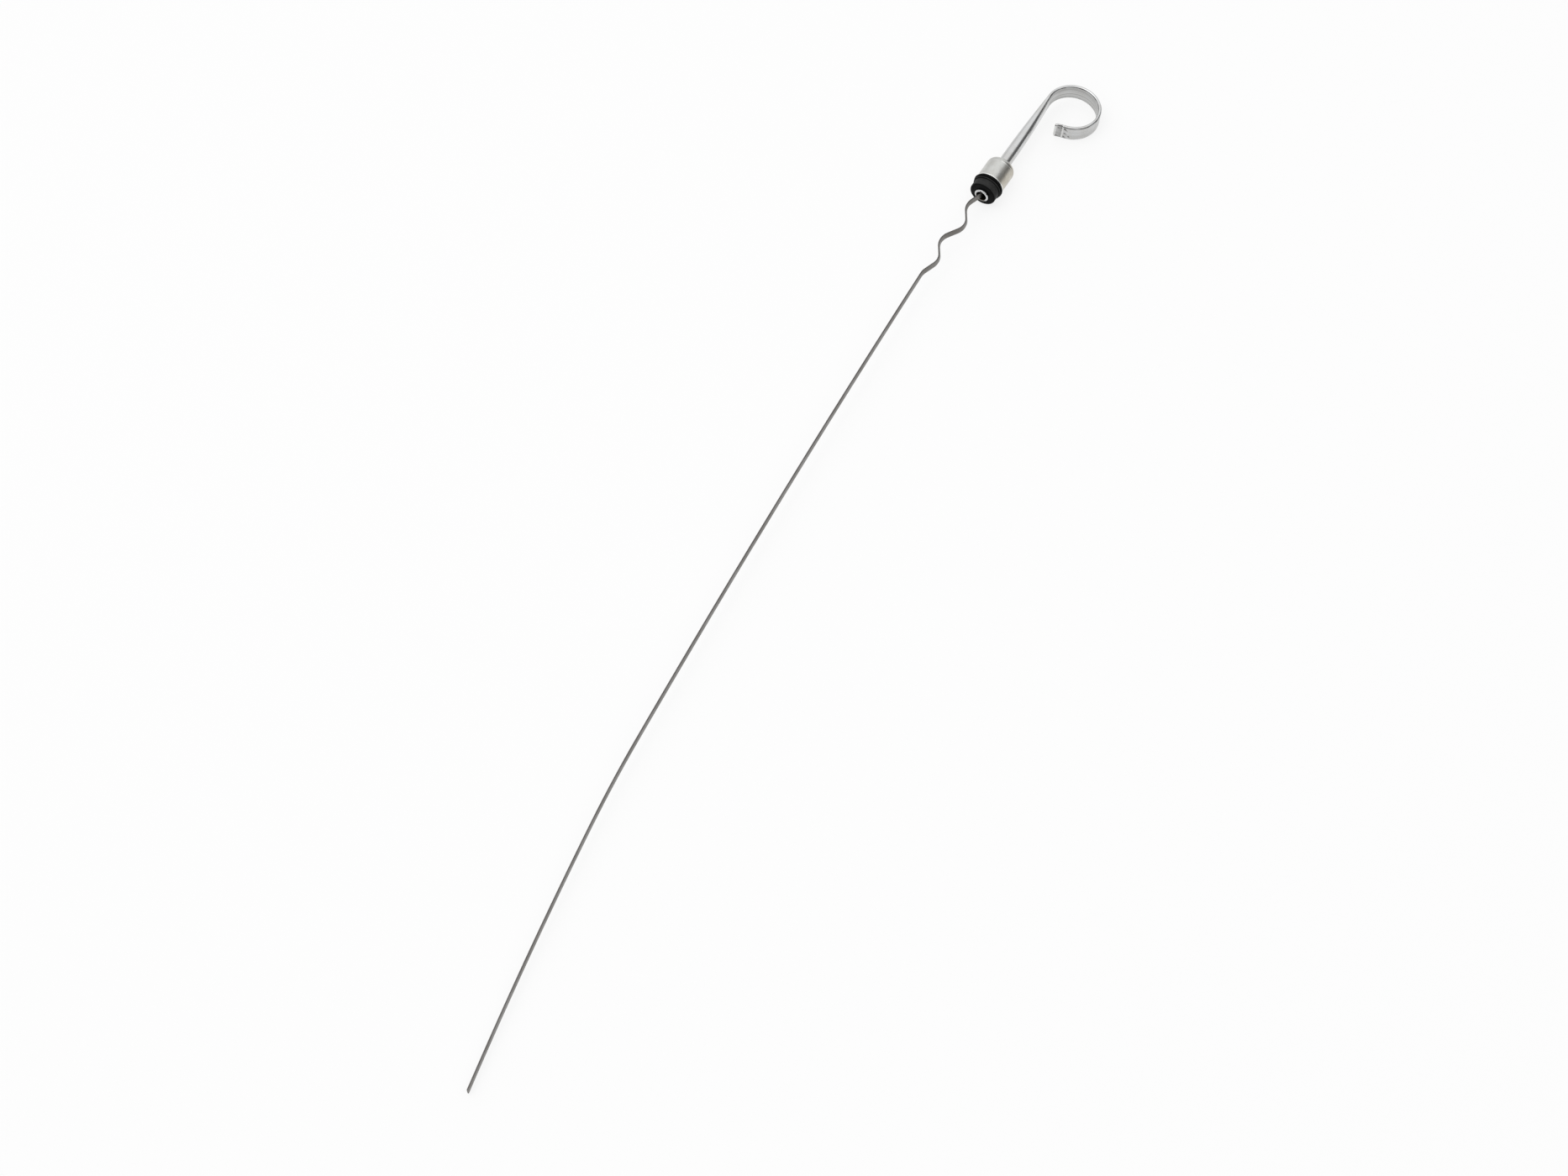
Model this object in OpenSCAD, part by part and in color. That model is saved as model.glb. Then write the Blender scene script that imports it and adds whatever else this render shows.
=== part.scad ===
// Engine oil dipstick with a curled tube handle, lying on its side as it comes to rest.
// X runs along the handle's tube, towards the hook. The origin is on the tube's axis, in the plane
// where the seal's flange seats on the mouth of the engine's dipstick tube.

/* [Handle tube] */
// Outside diameter of the handle tube
tube_od = 7.94; // [7.6:0.01:8.4]
// Wall thickness of the handle tube
tube_wall = 0.89; // [0.85:0.01:0.95]
// Thickness of the tube where it is pressed flat
flat_t = 2; // [1.95:0.05:2.2]
// Length of the round stretch between the cap and the start of the flattening
shank_round_len = 7; // [4:0.5:15]
// Length over which the tube goes from round to flat
shank_taper_len = 53; // [40:0.5:70]
// Radius of the hook at the middle of the flattened tube
hook_r = 16.8; // [14:0.1:20]
// Angle that the hook is curled through
hook_sweep = 252; // [220:1:270]
// Length of the straight coined tip of the hook
tip_len = 8.6; // [5:0.1:10]
// How far the rolled rim that holds the seal stands out from the tube
rim_rise = 0.67; // [0.64:0.01:0.9]
// Thickness of the rolled rim along the tube
rim_t = 1.6; // [1.3:0.05:1.7]
// Radius that the bore is flared with at its mouth
mouth_flare = 0.55; // [0.2:0.05:0.7]
// How far the bead that the cap stops against stands out from the tube
bead_rise = 0.48; // [0.46:0.02:0.8]
// Height of that bead along the tube
bead_h = 1.4; // [1:0.1:2]

/* [Cap] */
// Outside diameter of the cap's skirt
cap_od = 18.3; // [17.6:0.1:20]
// Height of the cap from its rim to its top
cap_h = 18.2; // [15:0.1:22]
// Sheet thickness of the cap
cap_wall = 0.9; // [0.6:0.05:1.2]
// Outside radius of the cap's drawn shoulder
cap_shoulder_r = 4; // [2:0.1:4.4]
// How far the cap's rim is rolled out past its skirt
cap_rim_roll = 0.25; // [0.1:0.05:0.5]
// Height of the rolled rim of the cap
cap_rim_h = 0.9; // [0.6:0.05:1.2]

/* [Seal] */
// Diameter of the seal's upper lip, under the cap's rim
upper_lip_od = 19.6; // [19:0.1:20.6]
// Thickness of the upper lip at its rounded edge
upper_lip_t = 2.1; // [1.6:0.05:2.1]
// Diameter of the seal's thin lower lip
lower_lip_od = 18.7; // [18.3:0.1:19.4]
// Thickness of the lower lip at its rounded edge
lower_lip_t = 1; // [0.7:0.05:1.1]
// Thickness of the flange that carries both lips
flange_t = 3.2; // [3.2:0.1:5]
// Diameter of the flange between its lips
groove_od = 18; // [17.6:0.1:18.2]
// Diameter of the plug that enters the engine's dipstick tube
plug_od = 17.2; // [16:0.05:17.6]
// Length of the plug below the flange
plug_len = 5.6; // [4:0.1:8]
// Bevel round the plug's end
plug_bevel = 0.8; // [0.3:0.05:1]
// Height of the spigot that centres the seal inside the cap
spigot_h = 5; // [3:0.5:9]

/* [Blade] */
// Width of the blade's spring-steel strip
blade_w = 4; // [3:0.1:4.6]
// Thickness of the strip
blade_t = 0.8; // [0.6:0.05:1]
// Radius of each bend of the waves
wave_r = 10.6; // [8:0.1:14]
// Slope of the steep flanks of the waves
wave_angle = 30.8; // [20:0.2:38]
// Slope of the first and the last flank
wave_end_angle = 18.8; // [10:0.2:24]
// Length of a straight steep flank between two bends
wave_flank = 5.9; // [4:0.1:8]
// Length of the straight first and last flank
wave_end_flank = 7.3; // [5:0.1:12]
// How far inside the tube's mouth the first bend starts
wave_inset = 3.4; // [1:0.1:4]
// Lean of the long stretch, towards the hook's side, where the waves end
lean_angle = 2.25; // [0:0.05:5]
// Length of the long stretch below the waves
long_len = 368; // [200:1:500]
// How far the long stretch bows over its length
long_bow = 2.4; // [0.5:0.1:4]
// Length over which the blade bends half way down
bend_len = 60; // [30:1:90]
// Angle of that bend
bend_angle = 3.4; // [1:0.05:8]
// Length of the lower stretch
low_len = 169.5; // [100:0.5:260]
// How far the lower stretch bows over its length
low_bow = 2.9; // [0.5:0.1:5]

/* [Hidden] */
$fn = 64;

// Clearances
// Radial clearance of the cap's hole and the seal's bore on the tube
tube_clearance = 0.05;
// Radial clearance of the seal's spigot inside the cap
spigot_clearance = 0.1;
// Clearance on each side of the blade where the flattened tube grips it
grip_clearance = 0.02;
// Overrun of every cut
overrun = 1;

// Places along the tube's axis
cap_rim_x = flange_t;
cap_top_x = cap_rim_x + cap_h;
plug_end_x = -plug_len;
rim_end_x = plug_end_x - rim_t;
bead_end_x = cap_top_x + bead_h;
taper_x = bead_end_x + shank_round_len;
hook_x = taper_x + shank_taper_len;

// Handle section: the wall's middle line keeps its length as the tube is pressed from round to flat
tube_r = tube_od / 2;
mid_perimeter = PI * (tube_od - tube_wall);
section_points = 32;
taper_rings = 16;
hook_rings = 30;
// Rings in each rounded quarter of the rim and the bead, and the rounding as a share of half the height
edge_rings = 4;
rim_edge_share = 0.7;
bead_edge_share = 0.5;
// Coined tip: shares of its length, each with the share of the flat thickness that is left there,
// and the share of the flat width: a plain start, a cross rib, a wide recess and an end band
tip_shares = [[0.10, 1, 1], [0.27, 1, 1], [0.32, 0.72, 1], [0.70, 0.72, 1], [0.76, 0.92, 1],
    [0.92, 0.88, 0.98], [0.975, 0.82, 0.93], [1, 0.7, 0.84]];

// Blade: each inner flank's length as a share of wave_flank, as the hand-pressed waves vary
flank_shares = [0.95, 1.25, 0.94];
// Largest turn between two points of a bend, and the fewest points in one
bend_step = 3;
bend_points = 6;

// Rest pose: rolled about the tube until the hook's far edge and the seal's lip both touch the ground
flat_run = flat_length(flat_t);
rest_roll = let (reach = 2 * hook_r, rise = flat_run / 2, drop = (upper_lip_od - flat_t) / 2)
    asin(drop / norm([reach, rise])) - atan2(rise, reach);

// Length of each straight side of the section when the tube is t thick over the flats
function flat_length(t) = (mid_perimeter - PI * (t - tube_wall)) / 2;

// Point of a stadium outline, s along it from the middle of its upper end: flat is the length of a
// straight side and r the radius of both ends. Gives [across, up].
function stadium(s, flat, r) =
    let (quarter = PI * r / 2, turn = 180 / (PI * r), lower = quarter + flat, back = lower + 2 * quarter)
    s < quarter ? [r * sin(s * turn), flat / 2 + r * cos(s * turn)]
    : s < lower ? [r, flat / 2 - (s - quarter)]
    : s < back ? [r * sin(90 + (s - lower) * turn), -flat / 2 + r * cos(90 + (s - lower) * turn)]
    : s < back + flat ? [-r, -flat / 2 + (s - back)]
    : [r * sin(270 + (s - back - flat) * turn), flat / 2 + r * cos(270 + (s - back - flat) * turn)];

// Thickness over the flats at a share u of the taper: slow at the round end, quick at the flat one
function taper_t(u) = flat_t + (tube_od - flat_t) * cos(90 * u);

// Stations of the handle's sweep: [x, y, heading, thickness, width share, shift of the middle]
function round_station(x, r) = [x, 0, 0, 2 * r, 0, 0];
function flare_stations() = [for (i = [0:edge_rings]) let (a = 90 * i / edge_rings)
    round_station(rim_end_x + mouth_flare * (1 - cos(a)), tube_r + mouth_flare * (1 - sin(a)))];
function collar_stations(x0, x1, r, share) = let (e = share * (x1 - x0) / 2)
    concat([for (i = [0:edge_rings]) let (a = 90 * i / edge_rings)
            round_station(x0 + e * (1 - cos(a)), r - e * (1 - sin(a)))],
        [for (i = [0:edge_rings]) let (a = 90 * i / edge_rings)
            round_station(x1 - e * (1 - sin(a)), r - e * (1 - cos(a)))]);
function round_stations() = concat(
    collar_stations(rim_end_x, plug_end_x, tube_r + rim_rise, rim_edge_share),
    [round_station(plug_end_x, tube_r), round_station(cap_top_x, tube_r)],
    collar_stations(cap_top_x, bead_end_x, tube_r + bead_rise, bead_edge_share),
    [round_station(bead_end_x, tube_r)]);
function taper_stations() = [for (i = [0:taper_rings]) let (u = i / taper_rings)
    [taper_x + shank_taper_len * u, 0, 0, taper_t(u), 1, 0]];
function hook_stations() = [for (i = [1:hook_rings]) let (a = hook_sweep * i / hook_rings)
    [hook_x + hook_r * sin(a), hook_r * (cos(a) - 1), -a, flat_t, 1, 0]];
function tip_stations() = let (a = hook_sweep, x = hook_x + hook_r * sin(a), y = hook_r * (cos(a) - 1))
    [for (s = tip_shares) let (along = tip_len * s[0], t = flat_t * s[1])
        [x + along * cos(a), y - along * sin(a), -a, t, s[2], (flat_t - t) / 2]];

// One ring of points round a station, inset from the outside of the tube by inset
function ring(st, inset) =
    let (flat = flat_length(st[3]) * st[4], r = st[3] / 2 - inset, perimeter = 2 * (flat + PI * r))
    [for (i = [0:section_points - 1])
        let (p = stadium(perimeter * i / section_points, flat, r), off = -p[0] - st[5])
        [st[0] - off * sin(st[2]), st[1] + off * cos(st[2]), p[1]]];

// Triangles of the skin between rings first and last, numbered from base, clockwise seen from outside
function skin(base, first, last) = let (n = section_points)
    [for (k = [first:last - 1], i = [0:n - 1])
        let (a = base + k * n + i, b = base + k * n + (i + 1) % n)
        each [[a, b + n, b], [a, a + n, b + n]]];

function flip(faces) = [for (f = faces) [f[0], f[2], f[1]]];

// Points and faces of the handle: the outer skin from the rolled rim to the coined tip, and the bore
module swept_tube() {
    outer = concat(round_stations(), taper_stations(), hook_stations(), tip_stations());
    inner = concat(flare_stations(), taper_stations());
    n = section_points;
    last = len(outer) - 1;
    deep = len(inner) - 1;
    base = len(outer) * n;
    points = concat([for (st = outer) each ring(st, 0)], [for (st = inner) each ring(st, tube_wall)]);
    mouth = [for (i = [0:n - 1]) let (a = i, b = (i + 1) % n)
        each [[a, base + b, base + a], [a, b, base + b]]];
    polyhedron(points = points, faces = concat(skin(0, 0, last), flip(skin(base, 0, deep)), mouth,
        [[for (i = [0:n - 1]) last * n + (n - i) % n]],
        [[for (i = [0:n - 1]) base + deep * n + i]]));
}

// Turns a profile about the tube's axis, its height becoming X
module turned() {
    rotate([0, 90, 0]) rotate_extrude() children();
}

// Square profile from the axis out to r, between two heights
module disc_profile(r, x0, x1) {
    translate([0, x0]) square([r, x1 - x0]);
}

// Profile out to r with a rounded edge of the radius that its thickness gives
module lip_profile(r, x0, x1) {
    edge = (x1 - x0) / 2;
    disc_profile(r - edge, x0, x1);
    translate([r - edge, x0 + edge]) circle(r = edge);
}

// Profile of a drawn cup: skirt out to r, shoulder radius s, between the heights x0 and x1
module cup_profile(r, s, x0, x1) {
    disc_profile(r, x0, x1 - s);
    disc_profile(r - s, x0, x1);
    translate([r - s, x1 - s]) circle(r = s);
}

// Points along a chain of [length, turn] pieces from the state [x, y, heading]
function moved(st, length, turn) = turn == 0
    ? [st[0] + length * cos(st[2]), st[1] + length * sin(st[2]), st[2]]
    : let (r = length / turn * 180 / PI)
        [st[0] + r * (sin(st[2] + turn) - sin(st[2])), st[1] - r * (cos(st[2] + turn) - cos(st[2])), st[2] + turn];
function chain(st, pieces, i = 0) = i == len(pieces) ? []
    : let (p = pieces[i], n = p[1] == 0 ? 1 : max(bend_points, ceil(abs(p[1]) / bend_step)))
        concat([for (k = [1:n]) moved(st, p[0] * k / n, p[1] * k / n)],
            chain(moved(st, p[0], p[1]), pieces, i + 1));

// A bend of the waves from one slope to another, in the strip's own sense
function wave_bend(from, to) = [wave_r * abs(to - from) * PI / 180, to - from];

// Blade's middle line from the grip in the flattened tube down to the tip, heading down the blade
function blade_stations() =
    let (grip_u = acos((blade_t + 2 * (tube_wall + grip_clearance) - flat_t) / (tube_od - flat_t)) / 90,
        top_x = taper_x + shank_taper_len * grip_u,
        start = [top_x, 0, 180],
        a = wave_angle, e = wave_end_angle,
        pieces = [[top_x - rim_end_x - wave_inset, 0],
            wave_bend(0, -e), [wave_end_flank, 0],
            wave_bend(-e, a), [wave_flank * flank_shares[0], 0],
            wave_bend(a, -a), [wave_flank * flank_shares[1], 0],
            wave_bend(-a, a), [wave_flank * flank_shares[2], 0],
            wave_bend(a, -e), [wave_end_flank, 0],
            wave_bend(-e, lean_angle),
            [long_len, long_bow], [bend_len, bend_angle], [low_len, low_bow]])
    concat([start], chain(start, pieces));

module handle() {
    color("silver") posed() swept_tube();
}

module cap() {
    color("lightgray") posed() turned() difference() {
        union() {
            cup_profile(cap_od / 2, cap_shoulder_r, cap_rim_x, cap_top_x);
            lip_profile(cap_od / 2 + cap_rim_roll, cap_rim_x, cap_rim_x + cap_rim_h);
        }
        translate([0, -overrun]) cup_profile(cap_od / 2 - cap_wall, cap_shoulder_r - cap_wall,
            cap_rim_x, cap_top_x - cap_wall + overrun);
        disc_profile(tube_r + tube_clearance, cap_rim_x, cap_top_x + overrun);
    }
}

module seal() {
    spigot_r = cap_od / 2 - cap_wall - spigot_clearance;
    plug_r = plug_od / 2;
    color("dimgray") posed() turned() difference() {
        union() {
            lip_profile(upper_lip_od / 2, flange_t - upper_lip_t, flange_t);
            disc_profile(groove_od / 2, lower_lip_t / 2, flange_t - upper_lip_t / 2);
            lip_profile(lower_lip_od / 2, 0, lower_lip_t);
            disc_profile(spigot_r, flange_t - upper_lip_t / 2, flange_t + spigot_h);
            disc_profile(plug_r, plug_end_x + plug_bevel, lower_lip_t / 2);
            polygon([[0, plug_end_x], [plug_r - plug_bevel, plug_end_x],
                [plug_r, plug_end_x + plug_bevel], [0, plug_end_x + plug_bevel]]);
        }
        translate([0, plug_end_x - overrun])
            square([tube_r + tube_clearance, plug_len + flange_t + spigot_h + 2 * overrun]);
    }
}

module blade() {
    line = blade_stations();
    n = len(line);
    function side(st, d) = [st[0] - d * sin(st[2]), st[1] + d * cos(st[2])];
    color("gray") posed() linear_extrude(height = blade_w, center = true)
        polygon(concat([for (st = line) side(st, blade_t / 2)],
            [for (i = [n - 1:-1:0]) side(line[i], -blade_t / 2)]));
}

// Rolls the finished piece about the tube's axis into the rest pose, the hook's side down
module posed() {
    rotate([rest_roll, 0, 0]) children();
}

handle();
cap();
seal();
blade();
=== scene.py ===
"""Engine oil dipstick: bright zinc-plated tube handle, drawn cap, rubber seal and spring-steel blade."""

import math

import bmesh
import bpy
import numpy as np
from mathutils import Matrix, Vector


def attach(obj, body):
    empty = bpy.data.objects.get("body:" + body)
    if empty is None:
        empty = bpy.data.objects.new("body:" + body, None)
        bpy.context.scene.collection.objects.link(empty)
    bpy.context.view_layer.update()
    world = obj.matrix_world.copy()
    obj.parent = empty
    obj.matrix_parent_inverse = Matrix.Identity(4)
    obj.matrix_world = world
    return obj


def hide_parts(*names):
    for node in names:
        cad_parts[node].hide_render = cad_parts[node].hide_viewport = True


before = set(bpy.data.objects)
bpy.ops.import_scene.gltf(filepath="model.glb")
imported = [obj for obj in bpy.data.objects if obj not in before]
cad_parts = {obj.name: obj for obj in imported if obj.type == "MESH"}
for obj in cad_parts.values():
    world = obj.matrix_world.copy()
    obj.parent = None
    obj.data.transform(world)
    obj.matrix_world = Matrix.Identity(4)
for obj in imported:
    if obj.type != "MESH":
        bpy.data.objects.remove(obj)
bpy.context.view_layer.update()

MM = 0.001

# Handle, in millimetres and degrees as the CAD model has it
TUBE_R = 3.97
TUBE_WALL = 0.89
FLAT_T = 2.0
ROUND_LEN = 7.0
TAPER_LEN = 53.0
HOOK_R = 16.8
HOOK_SWEEP = 252.0
TIP_LEN = 8.6
END_ROUND = 0.25

# Rolled rim, flare at the mouth, and the bead that holds the cap
RIM_RISE = 0.67
RIM_T = 1.6
MOUTH_FLARE = 0.55
BEAD_RISE = 0.48
BEAD_H = 1.4
RIM_ROUND_SHARE = 0.7
BEAD_ROUND_SHARE = 0.5

# Cap, with the ridge and groove that the last stroke of the draw left at its shoulder
CAP_R = 9.15
CAP_H = 18.2
CAP_WALL = 0.9
SHOULDER_R = 4.0
CAP_RIM_ROLL = 0.25
CAP_RIM_H = 0.9
CAP_RIM_FILLET = 0.35
SKIRT_START = 1.6
HOLE_FACE = 0.35
HOLE_ROUND = 0.2
DRAW_RIDGE = 0.035
DRAW_GROOVE = 0.09
DRAW_OFFSET = 0.4
DRAW_WIDTH = 0.35

# Seal
UPPER_LIP_R = 9.8
UPPER_LIP_T = 2.1
LOWER_LIP_R = 9.35
LOWER_LIP_T = 1.0
FLANGE_T = 3.2
PLUG_R = 8.6
PLUG_LEN = 5.6
PLUG_BEVEL = 0.8
PLUG_FILLET = 0.12
SPIGOT_H = 5.0
SPIGOT_GAP = 0.1
BORE_GAP = 0.05

# Blade: strip, waves, and its long, bent and low stretches as a length and a turn each
BLADE_W = 4.0
BLADE_T = 0.8
BLADE_EDGE = 0.16
BLADE_TWIST = 8.0
TWIST_RUN = 40.0
GRIP_GAP = 0.02
WAVE_R = 10.6
WAVE_ANGLE = 30.8
WAVE_END_ANGLE = 18.8
WAVE_FLANK = 5.9
WAVE_END_FLANK = 7.3
WAVE_INSET = 3.4
WAVES_X = -90.0
FLANK_SHARES = (0.95, 1.25, 0.94)
LEAN = 2.25
LONG = (368.0, 2.4)
BEND = (60.0, 3.4)
LOW = (169.5, 2.9)

# Coined tip: its thickness as shares of the flat tube's at shares of its length, and its cross rib
TIP_PLACE_SHARES = (0.20, 0.34, 0.44, 0.49, 0.86, 0.91, 0.96, 1.0)
TIP_DEPTH_SHARES = (1.0, 0.84, 0.80, 0.76, 0.76, 0.91, 0.88, 0.74)
RIB_PLACE_SHARE = 0.40
RIB_WIDTH_SHARE = 0.035
RIB_HEIGHT_SHARE = 0.13
CORNER_START_SHARE = 0.80
CORNER_RUN_SHARE = 0.20
CORNER_DRAW_SHARE = 0.17
CORNER_POWER = 2.6

# How dark the press left the tip at shares of its length, below 0 where it stands up and is rubbed bright
MARK_PLACE_SHARES = (0.44, 0.49, 0.86, 0.92, 1.0)
MARK_SHARES = (0.0, 0.50, 0.42, -0.7, -0.5)
BEATEN_MARK_SHARE = 0.14
STANDING_LIMIT = -0.3

# Nicks struck into the tip's outer side, each deep at its head and fading along its tail: place along
# from the tip's start and height of the head, the same of the tail's end, and the radius at the head
TIP_NICKS = (
    ((2.3, 3.4), (0.3, 1.8), 0.85),
    ((1.9, -0.6), (0.3, -1.6), 0.72),
    ((2.2, -3.9), (0.9, -4.6), 0.90),
    ((-0.7, -2.8), (-1.6, -3.9), 0.62),
    ((6.4, 3.3), (4.9, 1.9), 0.80),
    ((4.5, 3.5), (4.3, 2.4), 0.62),
    ((7.2, -4.2), (4.4, -4.6), 0.50),
)
NICK_DEPTH = 0.2
TAIL_FADE_SHARE = 0.66
TAIL_THIN_SHARE = 0.4

# Beaten surface: how much of it there is at places along from the tip's start
BEATEN_DEPTH = 0.045
BEATEN_PLACES = (-3.0, -0.5, 2.5, 3.2, 3.7, 4.3, 7.2, 7.8)
BEATEN_SHARES = (0.0, 0.6, 1.0, 0.2, 0.2, 1.0, 1.0, 0.0)

# Steps of the surfaces
TUBE_COLUMNS = 120
LATHE_COLUMNS = 160
TAPER_STEPS = 90
HOOK_STEPS = 199
TIP_STEPS = 120
FLARE_STEPS = 10
BARE_ROWS = 8
POLE_SHARE = 1e-4

# Places along the tube's axis, from the seat between the seal's flange and its plug
RIM_R = TUBE_R + RIM_RISE
BEAD_R = TUBE_R + BEAD_RISE
BORE_R = TUBE_R + BORE_GAP
RIM_X1 = -PLUG_LEN
RIM_X0 = RIM_X1 - RIM_T
CAP_RIM_X = FLANGE_T
CAP_TOP_X = FLANGE_T + CAP_H
BEAD_X1 = CAP_TOP_X + BEAD_H
TAPER_X = BEAD_X1 + ROUND_LEN
HOOK_X = TAPER_X + TAPER_LEN
MID_PERIMETER = math.pi * (2 * TUBE_R - TUBE_WALL)


def flat_length(t):
    """Length of a flat side of the pressed tube when it is t thick, so that its wall keeps its perimeter."""
    return (MID_PERIMETER - math.pi * (t - TUBE_WALL)) / 2


# The part lies on the seal's upper lip and on the hook's lower edge, which sets its roll
LIP_DROP = UPPER_LIP_R - FLAT_T / 2
EDGE_DROP = flat_length(FLAT_T) / 2
ROLL = math.asin(LIP_DROP / math.hypot(2 * HOOK_R, EDGE_DROP)) - math.atan2(EDGE_DROP, 2 * HOOK_R)


def posed(points):
    """Points turned by the rest roll about the tube's axis, and put in metres."""
    c, s = math.cos(ROLL), math.sin(ROLL)
    x, y, z = points[..., 0], points[..., 1], points[..., 2]
    return np.stack([x, y * c - z * s, y * s + z * c], axis=-1) * MM


class Skin:
    """Grids of points gathered into one mesh, each with UVs in centimetres along and round the piece."""

    def __init__(self):
        self.points, self.quads, self.uvs, self.work, self.count = [], [], [], [], 0

    def grid(self, p, u, v, flip=False, work=0.0):
        """Quads over a grid of points with rows u and columns v, its last column joined to its first
        where the grid closes on itself (v one longer than the columns). work holds what the press did
        to each point: distance from the fold, share pressed flat, and how deep a mark is."""
        rows, cols = p.shape[:2]
        closed = len(v) == cols + 1
        i = np.arange(rows - 1)[:, None]
        j = np.arange(cols if closed else cols - 1)[None, :]
        k = (j + 1) % cols
        quad = np.stack([i * cols + j, i * cols + k, (i + 1) * cols + k, (i + 1) * cols + j], -1)
        u, v = np.broadcast_to(u, (rows, len(v))), np.broadcast_to(v, (rows, len(v)))
        corners = ((i, j), (i, j + 1), (i + 1, j + 1), (i + 1, j))
        uv = np.stack([np.stack([u[a, b], v[a, b]], -1) for a, b in corners], axis=2)
        if flip:
            quad, uv = quad[..., ::-1], uv[:, :, ::-1]
        self.quads.append(quad.reshape(-1, 4) + self.count)
        self.uvs.append(uv.reshape(-1, 2))
        self.points.append(p.reshape(-1, 3))
        self.work.append(np.broadcast_to(work, p.shape).reshape(-1, 3))
        self.count += rows * cols
        return self

    def mesh(self, name, smooth_angle=40):
        """The gathered grids as one object, seams merged and faces smooth up to the given angle."""
        points, quads = np.concatenate(self.points), np.concatenate(self.quads)
        mesh = bpy.data.meshes.new(name)
        mesh.vertices.add(len(points))
        mesh.vertices.foreach_set("co", posed(points).astype(np.float32).ravel())
        mesh.loops.add(quads.size)
        mesh.loops.foreach_set("vertex_index", quads.astype(np.int32).ravel())
        mesh.polygons.add(len(quads))
        mesh.polygons.foreach_set("loop_start", np.arange(0, quads.size, 4, dtype=np.int32))
        mesh.polygons.foreach_set("loop_total", np.full(len(quads), 4, dtype=np.int32))
        layer = mesh.uv_layers.new(name="run")
        layer.data.foreach_set("uv", np.concatenate(self.uvs).astype(np.float32).ravel())
        work = mesh.attributes.new("work", "FLOAT_VECTOR", "POINT")
        work.data.foreach_set("vector", np.concatenate(self.work).astype(np.float32).ravel())
        mesh.update(calc_edges=True)
        mesh.validate()
        bm = bmesh.new()
        bm.from_mesh(mesh)
        bmesh.ops.remove_doubles(bm, verts=bm.verts, dist=1e-7)
        bmesh.ops.dissolve_degenerate(bm, edges=bm.edges, dist=1e-8)
        bm.to_mesh(mesh)
        bm.free()
        mesh.shade_smooth()
        mesh.set_sharp_from_angle(angle=math.radians(smooth_angle))
        obj = bpy.data.objects.new(name, mesh)
        bpy.context.scene.collection.objects.link(obj)
        return obj


def arc_length(rows):
    """Running length in centimetres along rows of points."""
    steps = np.linalg.norm(np.diff(rows, axis=0), axis=-1)
    return np.concatenate([[0.0], np.cumsum(steps)]) / 10


def bell(x, middle, width):
    """A bell curve 1 high at its middle, fallen to a third at its width from there."""
    return np.exp(-((x - middle) / width) ** 2)


def stadium(share, flat, r):
    """Outline of two half circles of radius r joined by straight sides of length flat, at a share of its
    perimeter from the middle of its upper end. Gives across and up."""
    share, flat, r = np.broadcast_arrays(share, flat, r)
    s = share * 2 * (flat + np.pi * r)
    quarter = np.pi * r / 2
    lower, back = quarter + flat, 3 * quarter + flat
    a1, a2, a3 = s / r, np.pi / 2 + (s - lower) / r, 1.5 * np.pi + (s - back - flat) / r
    pick = [s < quarter, s < lower, s < back, s < back + flat]
    across = np.select(pick, [r * np.sin(a1), r, r * np.sin(a2), -r], r * np.sin(a3))
    up = np.select(pick, [flat / 2 + r * np.cos(a1), flat / 2 - (s - quarter), -flat / 2 + r * np.cos(a2),
        -flat / 2 + (s - back)], flat / 2 + r * np.cos(a3))
    return across, up


def rings(stations, columns, inset=0.0, places=None):
    """Rings of a swept tube. Each station is x, y, heading in degrees, thickness, width share and shift of
    the middle; the ring is the stadium of that thickness, inset, standing square to the heading. Where
    places along the tip are given, the outer side has the nicks and the beaten surface."""
    x, y, head, t, wide, shift = (stations[:, k:k + 1] for k in range(6))
    across, up = stadium(np.arange(columns) / columns, np.maximum(flat_length(t) * wide, 0), t / 2 - inset)
    if places is not None:
        dents = NICK_DEPTH * nicks(places, up) + BEATEN_DEPTH * beaten(places, up)
        across = across + (across < 0) * dents
    off = -across - shift
    a = np.radians(head)
    return np.stack([x - off * np.sin(a), y + off * np.cos(a), up + 0 * off], -1)


def nicks(places, up):
    """How deep the nicks are at points of the tube's outer side, from 0 to 1: each falls off as a bell with
    the distance from the line between its head and its tail's end, and fades and thins along it."""
    bells = []
    for (a, b), (c, d), r in TIP_NICKS:
        along = ((places - a) * (c - a) + (up - b) * (d - b)) / ((c - a) ** 2 + (d - b) ** 2)
        along = np.clip(along, 0, 1)
        off = np.hypot(places - a - along * (c - a), up - b - along * (d - b))
        bells.append((1 - TAIL_FADE_SHARE * along) * bell(off, 0, r * (1 - TAIL_THIN_SHARE * along)))
    return np.max(bells, axis=0)


def beaten(places, up):
    """The uneven surface that the dies leave round the nicks and in the recess: two crossed sine waves
    1.2 and 1.4 mm long, each bent by the other, as strong as the table of its shares says."""
    along_wave = np.sin(5.3 * places + 1.8 * np.sin(2.9 * up))
    up_wave = np.sin(4.4 * up + 1.4 * np.sin(3.7 * places))
    return along_wave * up_wave * np.interp(places, BEATEN_PLACES, BEATEN_SHARES)


def rib(s):
    """Height of the cross rib at shares of the tip's length, as a share of its own: a bell."""
    return bell(s, RIB_PLACE_SHARE, RIB_WIDTH_SHARE)


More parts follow.
